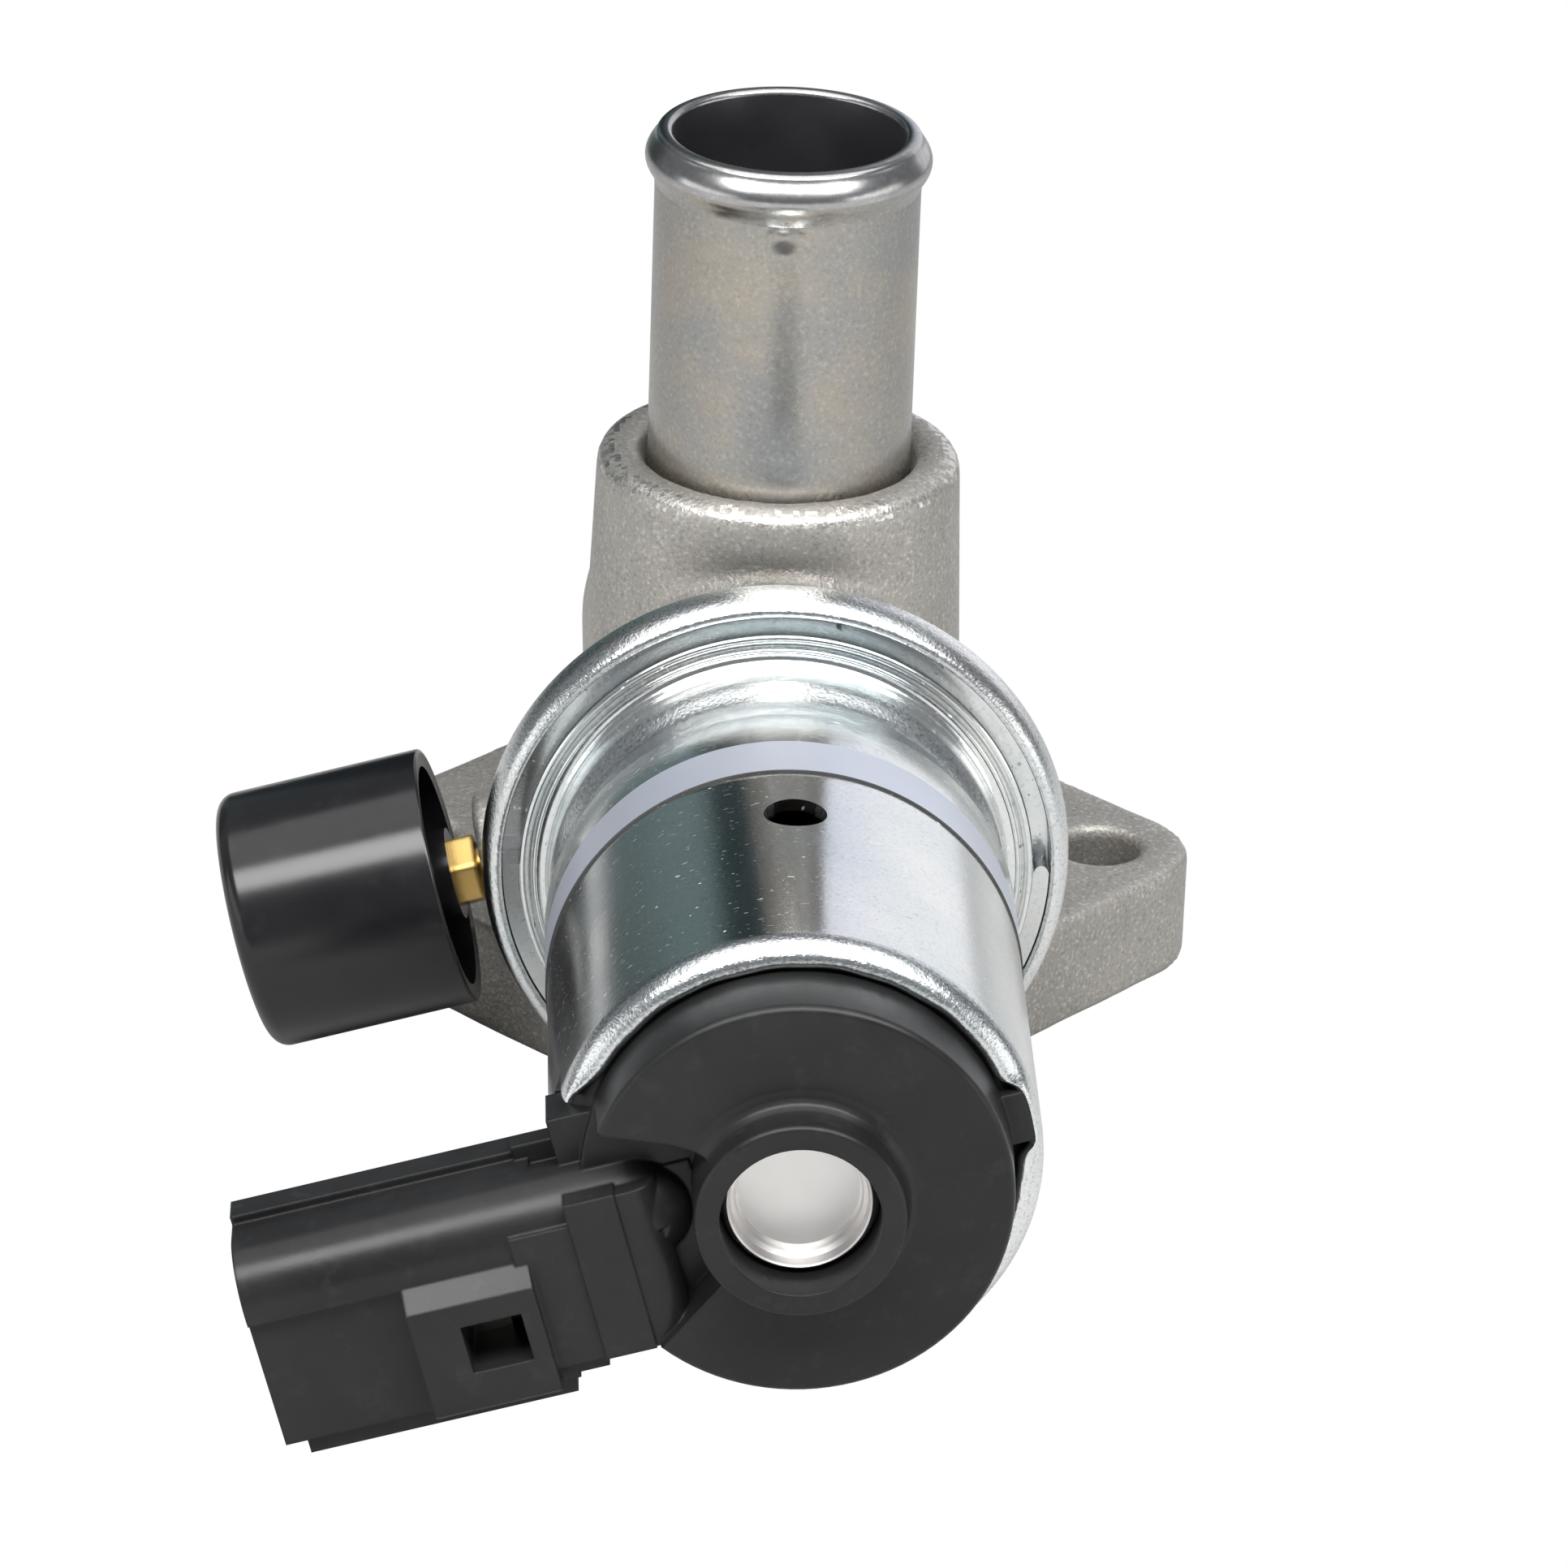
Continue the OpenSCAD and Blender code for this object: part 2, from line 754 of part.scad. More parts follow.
module end_seal() {
    color([0.12, 0.12, 0.12])
    forward() tube_ring(can_bore_r - fit_gap, seal_inner_r, washer_front, cap_back);
}

module pole_plate() {
    color([0.6, 0.6, 0.6])
    forward() tube_ring(dish_bore_r - fit_gap, bushing_r, housing_face, pole_front);
}

module front_bushing() {
    color([0.72, 0.55, 0.3])
    forward() tube_ring(bushing_r, shaft_r + running_gap, housing_face - 1.3, pole_front);
}

module flange_seal() {
    color([0.1, 0.1, 0.1])
    forward()
        rotate_extrude()
            translate([seal_groove_r, housing_face - seal_groove_depth / 2])
                circle(r = seal_groove_depth / 2, $fn = 32);
}

module armature() {
    pocket_r = core_bore_r;
    color([0.66, 0.66, 0.66])
    forward()
        difference() {
            spool(armature_r, armature_back, armature_front);
            spool(shaft_r, armature_back - cut, armature_back + shaft_grip);
            spool(pocket_r, spring_back, armature_front + cut);
        }
}

module valve_shaft() {
    shaft_end = rear_bore_end + 0.5;
    color([0.8, 0.8, 0.8])
    forward() spool(shaft_r, shaft_end, armature_back + shaft_grip);
}

module poppet() {
    back = seat_front + seal_face;
    front = back + poppet_t + poppet_hub;
    color([0.7, 0.7, 0.68])
    forward()
        rotate_extrude()
            polygon([
                [shaft_r, back], [poppet_r, back], [poppet_r, back + poppet_t],
                [shaft_r + clip_ring, front], [shaft_r, front]
            ]);
}

module poppet_seal() {
    color([0.12, 0.12, 0.12])
    forward() tube_ring(poppet_r, shaft_r, seat_front + fit_gap, seat_front + seal_face);
}

module poppet_clip() {
    station = seat_front + seal_face + poppet_t + poppet_hub;
    color([0.5, 0.5, 0.5])
    forward()
        difference() {
            tube_ring(shaft_r + clip_ring, shaft_r, station, station + clip_t);
            translate([-clip_slot / 2, 0, station - cut])
                cube([clip_slot, shaft_r + clip_ring + cut, clip_t + 2 * cut]);
        }
}

module valve_seat() {
    lead = 0.6;
    color([0.7, 0.7, 0.68])
    forward()
        rotate_extrude()
            polygon([
                [seat_hole_r, seat_back], [chamber_bore_r, seat_back], [chamber_bore_r, seat_front],
                [seat_hole_r + lead, seat_front], [seat_hole_r, seat_front - lead]
            ]);
}

module rear_bushing() {
    color([0.72, 0.55, 0.3])
    forward() tube_ring(rear_bushing_r, shaft_r + running_gap, rear_bore_end, rear_bushing_front);
}

// Plug that closes the bore at the housing's back and carries the rear bushing
module rear_plug() {
    color([0.75, 0.75, 0.73])
    forward()
        difference() {
            union() {
                spool(rear_plug_r, rear_bore_end - rear_plug_t, rear_bore_end);
                spool(rear_hub_r, rear_bore_end - touch, rear_bushing_front);
            }
            spool(rear_bushing_r, rear_bore_end, rear_bushing_front + cut);
        }
}

// Round wire wound in a helix, as rings of points joined by faces
module helix(wire, radius, turns, from, to) {
    per_turn = 18;
    sides = 8;
    rings = per_turn * turns;
    pitch = (to - from - 2 * wire) / turns;
    points = [for (i = [0:rings], k = [0:sides - 1])
        let (a = 360 * i / per_turn, b = 360 * k / sides)
        [
            (radius + wire * cos(b)) * cos(a),
            (radius + wire * cos(b)) * sin(a),
            from + wire + pitch * i / per_turn + wire * sin(b)
        ]
    ];
    walls = [for (i = [0:rings - 1], k = [0:sides - 1])
        let (n = (k + 1) % sides)
        [i * sides + k, i * sides + n, (i + 1) * sides + n, (i + 1) * sides + k]
    ];
    first = [for (k = [sides - 1:-1:0]) k];
    last = [for (k = [0:sides - 1]) rings * sides + k];
    polyhedron(points = points, faces = concat(walls, [first], [last]), convexity = 10);
}

module return_spring() {
    color([0.75, 0.75, 0.78])
    forward() helix(spring_wire_r, spring_r, spring_turns, spring_back + touch, screw_back - touch);
}

module side_fitting() {
    color([0.83, 0.66, 0.3])
    port_axis()
        difference() {
            union() {
                translate([0, 0, port_reach - fitting_seat]) cylinder(r = fitting_r, h = fitting_seat);
                translate([0, 0, hex_back]) cylinder(r = hex_r, h = hex_t, $fn = 6);
                translate([0, 0, port_reach]) cylinder(r = stem_r, h = stem_end - port_reach);
            }
            translate([0, 0, port_reach - fitting_seat - cut])
                cylinder(r = port_bore_r, h = stem_end - port_reach + fitting_seat + 2 * cut);
        }
}

module port_cap() {
    inner = cup_r - cup_wall;
    floor_z = cup_end - cup_wall;
    color([0.1, 0.1, 0.1])
    port_axis()
        difference() {
            rotate_extrude()
                polygon(concat(
                    [[stem_r, hub_back], [hub_stub_r, hub_back], [hub_stub_r, floor_z]],
                    [[inner, floor_z], [inner, cup_mouth], [cup_r - 0.2, cup_mouth], [cup_r, cup_mouth + 0.2]],
                    arc(cup_r - cup_edge_r, cup_end - cup_edge_r, cup_edge_r, 0, 90, 6),
                    [[0, cup_end], [0, stem_end], [stem_r, stem_end]]
                ));
        }
}

valve_body();
hose_tube();
clamp_ring();
retaining_ring();
mounting_flange();
solenoid_can();
end_cap();
terminal_upper();
terminal_lower();
core_plug();
adjusting_screw();
fixed_core();
guide_sleeve();
coil_bobbin();
coil_winding();
yoke_washer();
end_seal();
pole_plate();
front_bushing();
flange_seal();
armature();
valve_shaft();
poppet();
poppet_seal();
poppet_clip();
valve_seat();
rear_bushing();
rear_plug();
return_spring();
side_fitting();
port_cap();
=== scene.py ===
import math

import bmesh
import bpy
import numpy as np
from mathutils import Matrix


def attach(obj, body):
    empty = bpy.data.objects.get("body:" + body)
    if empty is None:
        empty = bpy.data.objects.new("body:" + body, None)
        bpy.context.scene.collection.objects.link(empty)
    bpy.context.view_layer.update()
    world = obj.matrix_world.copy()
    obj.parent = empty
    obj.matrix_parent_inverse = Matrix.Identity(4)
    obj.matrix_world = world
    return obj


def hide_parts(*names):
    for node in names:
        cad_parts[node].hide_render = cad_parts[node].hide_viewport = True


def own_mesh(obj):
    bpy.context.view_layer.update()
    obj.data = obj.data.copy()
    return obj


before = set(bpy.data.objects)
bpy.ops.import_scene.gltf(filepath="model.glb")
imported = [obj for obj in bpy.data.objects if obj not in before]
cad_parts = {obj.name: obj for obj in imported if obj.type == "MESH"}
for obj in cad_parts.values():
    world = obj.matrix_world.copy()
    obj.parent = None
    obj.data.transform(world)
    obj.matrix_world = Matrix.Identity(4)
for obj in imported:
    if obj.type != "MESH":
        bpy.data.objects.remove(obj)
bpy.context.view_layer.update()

# The valve body is one aluminium casting: bolted flange, tube boss, valve chamber and side
# port boss. Its corners are cast round where the parts of it meet, and its skin is sandy.
# Sizes here and below are in millimetres, along the frame's own axes.
MM = 0.001
TUBE_Y, BOSS_TOP = -14.0, 52.7
VOXEL, FILLET = 0.5, 1.2


def finish(name, base, other, rough, metal=0.0, spread=60.0, speck=0.0, speck_scale=2600.0,
           bump=0.0, bump_scale=1800.0, edge=0.0, wear=None, nicks=0.0, specular=0.5):
    """A procedural finish read in the piece's own coordinates: two colours mixed by a broad
    noise, with darker and lighter specks, streaks of wear (scale, colour, share) and short fine
    scratches of strength nicks. The roughness follows the broad noise and the scratches. bump
    is the height of the grain and edge the radius that corners are shaded with, both in mm."""
    material = bpy.data.materials.new(name)
    material.use_nodes = True
    tree = material.node_tree
    bsdf = tree.nodes["Principled BSDF"]
    bsdf.inputs["Metallic"].default_value = metal
    bsdf.inputs["Specular IOR Level"].default_value = specular
    place = tree.nodes.new("ShaderNodeTexCoord")
    link = tree.links.new

    def node(kind, **values):
        made = tree.nodes.new(kind)
        for key, value in values.items():
            made.inputs[key.replace("_", " ")].default_value = value
        return made

    def noise(scale, detail=4.0, roughness=0.6):
        made = node("ShaderNodeTexNoise", Scale=scale, Detail=detail, Roughness=roughness)
        link(place.outputs["Object"], made.inputs["Vector"])
        return made.outputs["Fac"]

    def ramp(source, low, high, start=0.0, end=1.0):
        made = node("ShaderNodeMapRange", From_Min=low, From_Max=high, To_Min=start, To_Max=end)
        link(source, made.inputs["Value"])
        return made.outputs["Result"]

    def mix(share, a, b):
        made = tree.nodes.new("ShaderNodeMix")
        made.data_type = "RGBA"
        for socket, value in ((made.inputs[0], share), (made.inputs[6], a), (made.inputs[7], b)):
            if hasattr(value, "links"):
                link(value, socket)
            else:
                socket.default_value = (*value, 1.0)
        return made.outputs[2]

    def shaded(factor, lift=0.0):
        return tuple(min(1.0, factor * c + lift) for c in base)

    broad = noise(spread)
    colour = mix(ramp(broad, 0.35, 0.65), base, other)
    if speck:
        fine = noise(speck_scale, 2.0)
        colour = mix(ramp(fine, 0.56, 0.68, 0.0, speck), colour, shaded(0.45))
        colour = mix(ramp(fine, 0.44, 0.33, 0.0, speck), colour, shaded(1.5, 0.1))
    if wear:
        streak_scale, streak_colour, streak_share = wear
        streak = noise(streak_scale, 6.0, 0.7)
        colour = mix(ramp(streak, 0.55, 0.72, 0.0, streak_share), colour, streak_colour)
    satin = ramp(broad, 0.3, 0.7, rough * 0.85, rough * 1.2)
    if nicks:
        # Each kind of scratch is a noise squeezed along a turned axis, seen above a threshold
        for turn, squeeze, low, shade in ((0.5, 9000.0, 0.75, 1.25), (2.1, 7000.0, 0.745, 0.25),
                                          (1.2, 2300.0, 0.775, 1.3)):
            drawn = node("ShaderNodeMapping", Rotation=(0.3, 0.6 * turn, turn),
                         Scale=(1100.0, squeeze, 1100.0))
            link(place.outputs["Object"], drawn.inputs["Vector"])
            line = node("ShaderNodeTexNoise", Scale=1.0, Detail=1.0)
            link(drawn.outputs["Vector"], line.inputs["Vector"])
            mark = ramp(line.outputs["Fac"], low, low + 0.02, 0.0, nicks)
            colour = mix(mark, colour, shaded(shade))
            dull = tree.nodes.new("ShaderNodeMath")
            dull.operation = "MAXIMUM"
            link(satin, dull.inputs[0])
            link(mark, dull.inputs[1])
            satin = dull.outputs[0]
    link(colour, bsdf.inputs["Base Color"])
    link(satin, bsdf.inputs["Roughness"])
    normal = None
    if edge:
        rounded = node("ShaderNodeBevel", Radius=edge * MM)
        rounded.samples = 6
        normal = rounded.outputs["Normal"]
    if bump:
        raised = node("ShaderNodeBump", Strength=1.0, Distance=bump * MM)
        link(noise(bump_scale, 3.0), raised.inputs["Height"])
        if normal:
            link(normal, raised.inputs["Normal"])
        normal = raised.outputs["Normal"]
    if normal:
        link(normal, bsdf.inputs["Normal"])
    return material


def fitted(obj, material, stands_for):
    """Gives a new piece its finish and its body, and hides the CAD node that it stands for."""
    obj.data.materials.clear()
    obj.data.materials.append(material)
    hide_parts(stands_for)
    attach(obj, "valve")
    return obj


def cad_copy(node, name):
    """A merged copy of a CAD node's mesh, as a new object at the world's origin."""
    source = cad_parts[node]
    mesh = source.data.copy()
    mesh.name = name
    mesh.transform(source.matrix_world)
    obj = bpy.data.objects.new(name, mesh)
    bpy.context.scene.collection.objects.link(obj)
    bm = bmesh.new()
    bm.from_mesh(mesh)
    bmesh.ops.remove_doubles(bm, verts=bm.verts, dist=1e-6)
    bm.to_mesh(mesh)
    bm.free()
    return obj


def applied(obj):
    """Bakes the object's modifiers into its mesh."""
    deps = bpy.context.evaluated_depsgraph_get()
    mesh = bpy.data.meshes.new_from_object(obj.evaluated_get(deps))
    old = obj.data
    obj.modifiers.clear()
    obj.data = mesh
    bpy.data.meshes.remove(old)
    return obj


def cast_copy(node, name, voxel, fillet):
    """The CAD shape as cast: swelled and shrunk again by the fillet, which fills inside
    corners with a radius, then softened a little so that outside edges lose their knife edge."""
    obj = cad_copy(node, name)
    for step in (0.0, fillet, -fillet):
        if step:
            move = obj.modifiers.new("move", "DISPLACE")
            move.mid_level = 0.0
            move.strength = step * MM
        grid = obj.modifiers.new("grid", "REMESH")
        grid.mode = "VOXEL"
        grid.voxel_size = voxel * MM
        applied(obj)
    smooth = obj.modifiers.new("smooth", "SMOOTH")
    smooth.iterations = 3
    smooth.factor = 0.5
    applied(obj)
    obj.data.polygons.foreach_set("use_smooth", np.ones(len(obj.data.polygons), bool))
    return obj


def places(mesh):
    """The mesh's points as an array [n, 3]."""
    row = np.empty(3 * len(mesh.vertices))
    mesh.vertices.foreach_get("co", row)
    return row.reshape(-1, 3) / MM


casting = finish("cast_aluminium", (0.475, 0.455, 0.42), (0.39, 0.375, 0.35), 0.46, metal=0.8,
                 speck=0.45, bump=0.085, bump_scale=2800.0)
# A lighter, shinier cast finish, the colour of painted glints on the boss rim.
rim_glints = finish("cast_edge_glints", (0.80, 0.78, 0.73), (0.66, 0.64, 0.60), 0.28, metal=0.95,
                speck=0.5, bump=0.12, bump_scale=1500.0)
housing = fitted(cast_copy("valve_body", "housing_casting", VOXEL, FILLET), casting,
                 stands_for="valve_body")

# Painted glints on the outer rim of the boss: half of its faces there, picked at random, are lighter.
GLINT_IN, GLINT_OUT, GLINT_DEPTH = 13.7, 15.3, 0.75
housing.data.materials.append(rim_glints)
chance = np.random.default_rng(7)
for face in housing.data.polygons:
    out = np.hypot(face.center[0], face.center[1] - TUBE_Y * MM) / MM
    from_top = abs(face.center[2] / MM - BOSS_TOP)
    if GLINT_IN < out < GLINT_OUT and from_top < GLINT_DEPTH and chance.random() < 0.5:
        face.material_index = 1

# Painted shade in the corner over the clamp ring, strongest in its middle: the share is
# exp(-(x / wide)^2 - (z / high)^2), which the casting's colour reads as an attribute.
SHADE_X, SHADE_Z, SHADE_WIDE, SHADE_HIGH, BOSS_FRONT = -0.7, 48.0, 6.0, 2.0, -26.0
x, y, z = places(housing.data).T
painted_shade = 0.85 * np.exp(-((x - SHADE_X) / SHADE_WIDE) ** 2 - ((z - SHADE_Z) / SHADE_HIGH) ** 2)
painted_shade = painted_shade * (y < BOSS_FRONT)
housing.data.attributes.new("painted_shade", "FLOAT", "POINT").data.foreach_set("value", painted_shade)
tree = casting.node_tree
base_colour = tree.nodes["Principled BSDF"].inputs["Base Color"]
share = tree.nodes.new("ShaderNodeAttribute")
share.attribute_name = "painted_shade"
painted_shade_mix = tree.nodes.new("ShaderNodeMix")
painted_shade_mix.data_type = "RGBA"
# The dark brown that the painted shade mixes the casting's colour towards
painted_shade_mix.inputs[7].default_value = (0.07, 0.064, 0.055, 1.0)
tree.links.new(share.outputs["Fac"], painted_shade_mix.inputs[0])
tree.links.new(base_colour.links[0].from_socket, painted_shade_mix.inputs[6])
tree.links.new(painted_shade_mix.outputs[2], base_colour)

# The hose tube is thin steel, pressed into the boss, with a bead rolled near its mouth so
# that a clamped hose can't slip off. Its skin is dull, mottled and water marked.
TUBE_R, TUBE_BORE, TUBE_FOOT, MOUTH = 11.0, 9.6, 40.0, 81.1
BEAD_RISE, BEAD_LEN, BEAD_STEPS = 0.85, 3.5, 12
bead_z = MOUTH - 2.3


def arc(cr, cs, r, a0, a1, n=8):
    """Points of an arc about (cr, cs) from angle a0 to a1 in degrees."""
    return [(cr + r * math.cos(math.radians(a0 + (a1 - a0) * i / n)),
             cs + r * math.sin(math.radians(a0 + (a1 - a0) * i / n))) for i in range(n + 1)]


def sheet_mesh(name, points, wrap_u, wrap_v):
    """A grid of points [u, v, 3] as a mesh of four-sided faces, closed along u or v if asked."""
    nu, nv = points.shape[:2]
    iu = np.arange(nu if wrap_u else nu - 1)
    iv = np.arange(nv if wrap_v else nv - 1)
    u, v = np.meshgrid(iu, iv, indexing="ij")
    u2, v2 = (u + 1) % nu, (v + 1) % nv
    faces = np.stack([u * nv + v, u2 * nv + v, u2 * nv + v2, u * nv + v2], -1).reshape(-1, 4)
    mesh = bpy.data.meshes.new(name)
    mesh.from_pydata(points.reshape(-1, 3).tolist(), [], faces.tolist())
    obj = bpy.data.objects.new(name, mesh)
    bpy.context.scene.collection.objects.link(obj)
    return obj


def smoothed(obj, angle=38):
    """Welds the mesh, turns its faces outward and shades it smooth up to that angle."""
    bm = bmesh.new()
    bm.from_mesh(obj.data)
    bmesh.ops.remove_doubles(bm, verts=bm.verts, dist=2e-6)
    bmesh.ops.dissolve_degenerate(bm, edges=bm.edges, dist=1e-7)
    bmesh.ops.recalc_face_normals(bm, faces=bm.faces)
    bm.to_mesh(obj.data)
    bm.free()
    obj.data.polygons.foreach_set("use_smooth", np.ones(len(obj.data.polygons), bool))
    obj.data.set_sharp_from_angle(angle=math.radians(angle))
    return obj


def turned(name, profile, place, around=224):
    """A closed profile of (radius, station) points swept once about the place's axis."""
    p = np.array(profile, float)
    a = np.linspace(0, 2 * np.pi, around, endpoint=False)[:, None]
    points = place(p[:, 0] * np.cos(a), p[:, 0] * np.sin(a), p[:, 1] + 0 * a)
    return smoothed(sheet_mesh(name, points, True, True))


def on_tube(x, y, s):
    """About the hose tube's axis, s being the height above the mounting face."""
    return np.stack([x, y + TUBE_Y, s], -1) * MM


# The outline runs up the outside, with close steps where the dent goes, over the bead, whose
# radius is TUBE_R + BEAD_RISE sin a for a from 0 to 180 degrees, and round the mouth's edge.
tube_profile = (
    [(TUBE_BORE, TUBE_FOOT), (TUBE_R, TUBE_FOOT)]
    + [(TUBE_R, bead_z - 6.0 + 0.2 * i) for i in range(18)]
    + arc(TUBE_R + 0.35, bead_z - 2.2, 0.35, 200, 150, 3)
    + [(TUBE_R + BEAD_RISE * math.sin(math.pi * i / BEAD_STEPS),
        bead_z + BEAD_LEN * (i / BEAD_STEPS - 0.5)) for i in range(1, BEAD_STEPS)]
    + arc(TUBE_R - 0.6, MOUTH - 0.66, 0.62, 10, 90, 6)
    + arc(TUBE_BORE + 0.5, MOUTH - 0.5, 0.5, 90, 180, 6)
)
tube_steel = finish("tube_steel", (0.455, 0.42, 0.365), (0.38, 0.38, 0.375), 0.26, metal=1.0,
                    spread=150.0, speck=0.25, speck_scale=2700.0, bump=0.012, bump_scale=1400.0,
                    wear=(90.0, (0.33, 0.35, 0.37), 0.45))
# A lighter copy of the tube's steel for the bead and the mouth: a painted highlight.
bead_painted_highlight = finish("bead_painted_highlight", (0.52, 0.52, 0.53), (0.44, 0.435, 0.42), 0.25, metal=1.0,
                    spread=200.0, speck=0.2, speck_scale=1900.0, bump=0.006, bump_scale=900.0)
# A darker copy of the tube's steel for the bore: painted shade inside the tube.
bore_painted_shade = finish("bore_painted_shade", (0.30, 0.30, 0.32), (0.22, 0.215, 0.225), 0.34, metal=1.0,
                    spread=110.0, bump=0.01, bump_scale=700.0)
tube = fitted(turned("hose_tube_rolled", tube_profile, on_tube), tube_steel,
              stands_for="hose_tube")

# A round dent in the wall below the bead, in front: depth DENT / 2 (1 + cos(pi d / DENT_R))
# at the distance d from its middle.
DENT_X, DENT_Z, DENT_R, DENT = -0.6, bead_z - 3.1, 1.8, 0.3
spots = places(tube.data)
from_middle = np.hypot(spots[:, 0] - DENT_X, spots[:, 2] - DENT_Z)
pressed = (from_middle < DENT_R) & (spots[:, 1] < TUBE_Y - TUBE_R + 0.8)
spots[pressed, 1] += DENT / 2 * (1 + np.cos(np.pi * from_middle[pressed] / DENT_R))
tube.data.vertices.foreach_set("co", (spots * MM).ravel())

tube.data.materials.append(bead_painted_highlight)
tube.data.materials.append(bore_painted_shade)
# The bore below the mouth takes the painted shade, and the bead and mouth above take the painted
# highlight.
for face in tube.data.polygons:
    out = np.hypot(face.center[0], face.center[1] - TUBE_Y * MM)
    if out < TUBE_BORE * MM + 2e-5 and face.center[2] < (MOUTH - 0.5) * MM:
        face.material_index = 2
    elif face.center[2] > (bead_z - 0.3) * MM:
        face.material_index = 1

# The valve itself: a seat ring pressed into the chamber, and an aluminium poppet with a
# rubber face on a ground steel shaft, kept by a clip and carried in bronze bushings.
bare_steel = finish("bare_steel", (0.56, 0.56, 0.55), (0.48, 0.48, 0.48), 0.25, metal=1.0,
                    bump=0.004, bump_scale=3000.0, wear=(300.0, (0.3, 0.28, 0.25), 0.3))
turned_aluminium = finish("turned_aluminium", (0.72, 0.72, 0.70), (0.64, 0.64, 0.63), 0.28,
                          metal=1.0, bump=0.006, bump_scale=2500.0)
bronze = finish("bronze", (0.50, 0.34, 0.16), (0.40, 0.28, 0.14), 0.4, metal=1.0, speck=0.5,
                bump=0.01, bump_scale=4000.0)
seal_rubber = finish("seal_rubber", (0.025, 0.025, 0.025), (0.04, 0.04, 0.038), 0.6,
                     bump=0.01, bump_scale=3500.0)
spring_steel = finish("spring_steel", (0.62, 0.62, 0.64), (0.5, 0.5, 0.53), 0.2, metal=1.0,
                      bump=0.003, bump_scale=3000.0)


def dressed(material, *nodes):
    """Gives CAD nodes that stay as they are their finish."""
    for name in nodes:
        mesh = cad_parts[name].data
        mesh.materials.clear()
        mesh.materials.append(material)


dressed(turned_aluminium, "valve_seat", "poppet")
dressed(bare_steel, "valve_shaft")
dressed(seal_rubber, "poppet_seal")
dressed(spring_steel, "poppet_clip")
dressed(bronze, "front_bushing", "rear_bushing")

# The rear plug is a turned aluminium disc pressed into the chamber's open back. It carries
# the rear bushing on a hub.
dressed(turned_aluminium, "rear_plug")

# The solenoid's flange, neck and collar are one pressing, zinc plated bright, lying on a
# rubber ring in the housing's round face. A small bead and a land are pressed into its dish.
AXIS_Z = 24.7
FACE, RIM_FRONT, CAN_START = 32.3, 37.1, 58.9
COLLAR_R, HIP_R, WAIST_R, LAND_R, GROOVE_R, DISH_R = 19.15, 18.75, 17.9, 19.7, 21.2, 22.6
COLLAR_BACK, BAND_BACK = 48.2, 53.4
FLANGE_BORE, DISH_PLATE, SPIGOT_R, SPIGOT_LEN = 17.0, 1.5, 17.98, 3
WAIST_RUN, WAIST_STEPS = 2.9, 16
bead_front = RIM_FRONT + 0.2
hip_front = bead_front + 3


def on_solenoid(x, y, s):
    """Right, up and station forward on the solenoid's axis, into the row frame."""
    return np.stack([x, -s, y + AXIS_Z], -1) * MM


dressed(seal_rubber, "flange_seal")
zinc = finish("zinc_plate", (0.87, 0.875, 0.865), (0.75, 0.80, 0.81), 0.18, metal=1.0, spread=75.0,
              speck=0.25, speck_scale=3000.0, bump=0.007, bump_scale=2400.0,
              wear=(260.0, (0.92, 0.88, 0.84), 0.3), nicks=0.7)
zinc_satin = finish("zinc_satin", (0.54, 0.57, 0.65), (0.51, 0.54, 0.62), 0.42, metal=0.6, bump=0.002)
zinc_grain = finish("zinc_grain", (0.84, 0.85, 0.845), (0.70, 0.75, 0.765), 0.2, metal=1.0,
                    spread=75.0, speck=0.6, speck_scale=3600.0, bump=0.05, bump_scale=3300.0)
# A dark finish for the collar's joint before the can: painted shade.
joint_shade = finish("zinc_joint_shade", (0.09, 0.09, 0.09), (0.06, 0.06, 0.06), 0.6, metal=0.5, bump=0.002)

# From hip to waist the radius falls as half a cosine wave over WAIST_RUN.
waist = [(WAIST_R + (HIP_R - WAIST_R) * (1 + math.cos(math.pi * i / WAIST_STEPS)) / 2,
          hip_front + WAIST_RUN * i / WAIST_STEPS) for i in range(WAIST_STEPS + 1)]
flange_profile = (
    [(FLANGE_BORE, FACE), (DISH_R, FACE), (DISH_R, FACE + DISH_PLATE), (GROOVE_R, FACE + DISH_PLATE)]
    + arc(GROOVE_R - 0.4, bead_front - 0.4, 0.4, 0, 180, 12)
    + arc(LAND_R + 0.475, bead_front - 0.5, 0.125, 0, -180, 6)
    + arc(LAND_R + 0.2, bead_front, 0.18, 0, 180, 8)
    + arc(HIP_R + 0.95, bead_front + 1.1, 0.85, 270, 180, 8)
    + [(HIP_R + 0.02, bead_front + 2.2)]
    + waist
    + [(WAIST_R + 0.08, COLLAR_BACK - 1.8), (WAIST_R + 0.35, COLLAR_BACK - 0.9)]
    + arc(COLLAR_R - 0.3, COLLAR_BACK, 0.3, 240, 360, 6)
    + [(COLLAR_R, BAND_BACK), (COLLAR_R, CAN_START - 0.02), (COLLAR_R - 0.02, CAN_START)]
    + [(SPIGOT_R, CAN_START), (SPIGOT_R, CAN_START + SPIGOT_LEN), (FLANGE_BORE, CAN_START + SPIGOT_LEN)]
)
pressing = fitted(turned("flange_and_collar", flange_profile, on_solenoid), zinc,
                  stands_for="mounting_flange")

# The neck is grained, the collar carries a satin band, and the joint before the can is painted shade.
pressing.data.materials.append(zinc_satin)
pressing.data.materials.append(zinc_grain)
pressing.data.materials.append(joint_shade)
for face in pressing.data.polygons:
    station = -face.center[1] / MM
    out = np.hypot(face.center[0], face.center[2] - AXIS_Z * MM) / MM
    if hip_front < station < COLLAR_BACK:
        face.material_index = 2
    # Faces from just before the can's start onwards take the painted shade.
    if station > CAN_START - 0.025:
        face.material_index = 3
    if BAND_BACK < station < CAN_START - 0.1 and out > COLLAR_R - 0.25:
        face.material_index = 1

